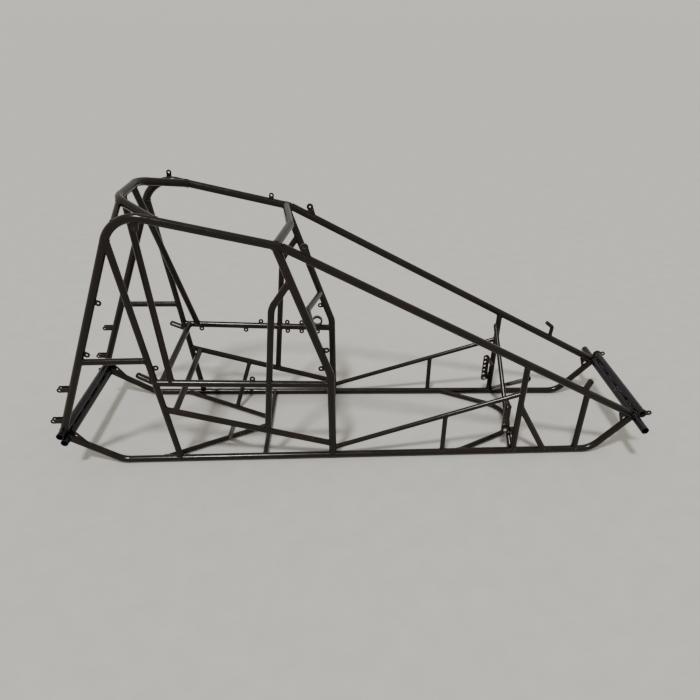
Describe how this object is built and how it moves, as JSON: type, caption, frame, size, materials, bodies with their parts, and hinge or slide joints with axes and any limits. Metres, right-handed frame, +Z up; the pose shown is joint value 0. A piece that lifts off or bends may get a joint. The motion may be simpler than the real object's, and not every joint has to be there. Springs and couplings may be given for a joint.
{
  "type": "open-wheel space-frame chassis",
  "caption": "Bare welded space frame of a torsion-bar open-wheel race car: roll cage, side frames, torsion tubes, brackets and a pair of hinged pedals.",
  "frame": {"origin": "on the floor, under the middle of the chassis' bounding box", "axes": "+X forward to the nose, +Y to the car's left, +Z up; the lower rails stand on Z = 0"},
  "size_m": [3.0236, 0.8, 1.3575],
  "materials": {
    "frame_paint": "gloss black powder coat with a brown cast",
    "torsion_paint": "gloss blue-black paint",
    "bracket_paint": "satin black paint, rubbed at the edges",
    "zinc_bolts": "zinc plated"
  },
  "bodies": {
    "frame": {"lower_rail_right": "frame_paint", "lower_rail_left": "frame_paint", "cage_rail_right": "frame_paint", "cage_rail_left": "frame_paint", "down_rail_right": "frame_paint", "down_rail_left": "frame_paint", "rear_brace_right": "frame_paint", "rear_brace_left": "frame_paint", "rear_side_tubes": "frame_paint", "mid_rail_right": "frame_paint", "mid_rail_left": "frame_paint", "side_diagonal_right": "frame_paint", "side_diagonal_left": "frame_paint", "front_upright_right": "frame_paint", "front_upright_left": "frame_paint", "cockpit_upright_right": "frame_paint", "cockpit_upright_left": "frame_paint", "nose_side_rail_right": "frame_paint", "nose_side_rail_left": "frame_paint", "short_uprights": "frame_paint", "bulkhead_upright_right": "frame_paint", "bulkhead_upright_left": "frame_paint", "rear_hoop": "frame_paint", "hoop_stays": "frame_paint", "seat_back_tube_right": "frame_paint", "seat_back_tube_left": "frame_paint", "halo_bar": "frame_paint", "dash_bar": "frame_paint", "rear_cross_tube": "frame_paint", "seat_cross_tube": "frame_paint", "floor_cross_tube": "frame_paint", "front_cross_tube": "frame_paint", "rear_floor_braces": "frame_paint", "foot_loop": "frame_paint", "seat_struts": "frame_paint", "bulkhead_brace_rear": "frame_paint", "bulkhead_brace_front": "frame_paint", "nose_upright": "frame_paint", "nose_diagonal": "frame_paint", "rear_torsion_tube_upper": "torsion_paint", "rear_torsion_tube_lower": "torsion_paint", "front_torsion_tube_crossing": "torsion_paint", "front_torsion_tube_short": "torsion_paint", "torsion_ears": "bracket_paint", "torsion_ring_tab": "bracket_paint", "rear_gussets": "frame_paint", "front_gussets": "frame_paint", "tank_tabs": "bracket_paint", "cage_tabs": "bracket_paint", "cage_brackets": "bracket_paint", "hood_posts": "bracket_paint", "panel_tabs": "bracket_paint", "slotted_tabs": "bracket_paint", "steering_mount": "bracket_paint", "pedal_brackets": "bracket_paint", "pedal_pins": "zinc_bolts"},
    "brake_pedal": {"brake_pedal_arm": "bracket_paint", "brake_foot_bar": "bracket_paint"},
    "throttle_pedal": {"throttle_pedal_arm": "bracket_paint", "throttle_foot_bar": "bracket_paint"}
  },
  "joints": [
    {"name": "brake_pedal_hinge", "type": "hinge", "parent": "frame", "child": "brake_pedal", "pos_m": [0.78725, 0.243, 0.13695], "axis": [0, 1, 0], "range_deg": [0, 18]},
    {"name": "throttle_pedal_hinge", "type": "hinge", "parent": "frame", "child": "throttle_pedal", "pos_m": [0.78725, -0.243, 0.13695], "axis": [0, 1, 0], "range_deg": [0, 25]}
  ]
}
